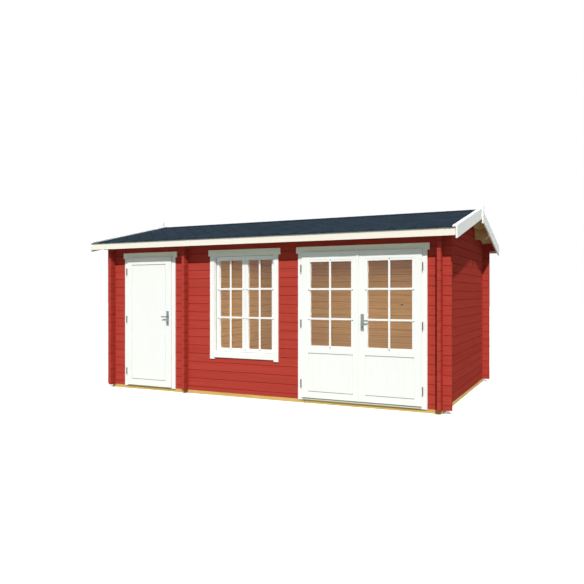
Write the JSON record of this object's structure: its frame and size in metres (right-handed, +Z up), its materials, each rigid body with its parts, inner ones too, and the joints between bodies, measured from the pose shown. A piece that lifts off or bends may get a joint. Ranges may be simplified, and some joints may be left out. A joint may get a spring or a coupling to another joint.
{
  "type": "log cabin",
  "caption": "Garden log cabin with interlocked log corners, a glazed double door and a sash window, and a store room with its own plain door under a low ridge roof.",
  "frame": {"origin": "on the ground at the middle of the plan", "axes": "+X along the front towards the gable beside the double door, the front faces -Y, +Z up"},
  "size_m": [5.328, 3.456, 2.618],
  "materials": {
    "log_paint": "opaque red wood paint outside, bare wood inside",
    "trim_paint": "white painted wood",
    "door_paint": "white painted wood, smoother than the trim",
    "bare_wood": "planed softwood, untreated",
    "treated_wood": "impregnated softwood beams",
    "shingle": "mineral-faced bitumen roof shingles, dark blue grey",
    "pane": "clear float glass",
    "hinge_steel": "zinc-plated steel",
    "handle_steel": "satin steel"
  },
  "bodies": {
    "cabin": {"back_barge_boards": "trim_paint", "back_roof_boards": "bare_wood", "back_shingles": "shingle", "back_wall": "log_paint", "double_door_casing": "trim_paint", "double_door_frame": "trim_paint", "eave_fascias": "trim_paint", "finials": "trim_paint", "foundation_cross_beams": "treated_wood", "foundation_long_beams": "treated_wood", "frame_hinges": "hinge_steel", "front_barge_boards": "trim_paint", "front_roof_boards": "bare_wood", "front_shingles": "shingle", "front_wall_below_window": "log_paint", "front_wall_left_pier": "log_paint", "front_wall_middle_pier": "log_paint", "front_wall_partition_pier": "log_paint", "front_wall_right_pier": "log_paint", "front_wall_top": "log_paint", "left_gable_wall": "log_paint", "main_room_floor": "bare_wood", "partition_wall": "log_paint", "rake_caps": "trim_paint", "ridge_cap": "shingle", "ridge_purlin": "bare_wood", "right_gable_wall": "log_paint", "side_purlins": "bare_wood", "single_door_casing": "trim_paint", "single_door_frame": "trim_paint", "store_room_floor": "bare_wood", "window_casing": "trim_paint", "window_frame": "trim_paint", "window_glass": "pane", "window_sashes": "trim_paint"},
    "single_door": {"single_door_leaf": "door_paint", "single_door_leaf_hinges": "hinge_steel", "single_door_lock_plates": "handle_steel"},
    "single_door_lever": {"single_door_lever": "handle_steel"},
    "double_door_left": {"double_door_left_leaf": "door_paint", "double_door_left_glass": "pane", "double_door_cover_strip": "door_paint", "double_door_left_hinges": "hinge_steel"},
    "double_door_right": {"double_door_right_leaf": "door_paint", "double_door_right_glass": "pane", "double_door_right_hinges": "hinge_steel", "double_door_lock_plates": "handle_steel"},
    "double_door_lever": {"double_door_lever": "handle_steel"}
  },
  "joints": [
    {"name": "single_door_hinge", "type": "hinge", "parent": "cabin", "child": "single_door", "pos_m": [-2.143, -1.517, 1], "axis": [0, 0, -1], "range_deg": [0, 150]},
    {"name": "double_door_left_hinge", "type": "hinge", "parent": "cabin", "child": "double_door_left", "pos_m": [0.66, -1.517, 1], "axis": [0, 0, -1], "range_deg": [0, 170]},
    {"name": "double_door_right_hinge", "type": "hinge", "parent": "cabin", "child": "double_door_right", "pos_m": [2.208, -1.517, 1], "axis": [0, 0, 1], "range_deg": [0, 150]},
    {"name": "single_door_lever_turn", "type": "hinge", "parent": "single_door", "child": "single_door_lever", "pos_m": [-1.409, -1.478, 1.055], "axis": [0, -1, 0], "range_deg": [0, 45], "stiffness_Nm_per_rad": 1, "springref_deg": -20.05},
    {"name": "double_door_lever_turn", "type": "hinge", "parent": "double_door_right", "child": "double_door_lever", "pos_m": [1.476, -1.478, 1.055], "axis": [0, 1, 0], "range_deg": [0, 45], "stiffness_Nm_per_rad": 1, "springref_deg": -20.05}
  ]
}
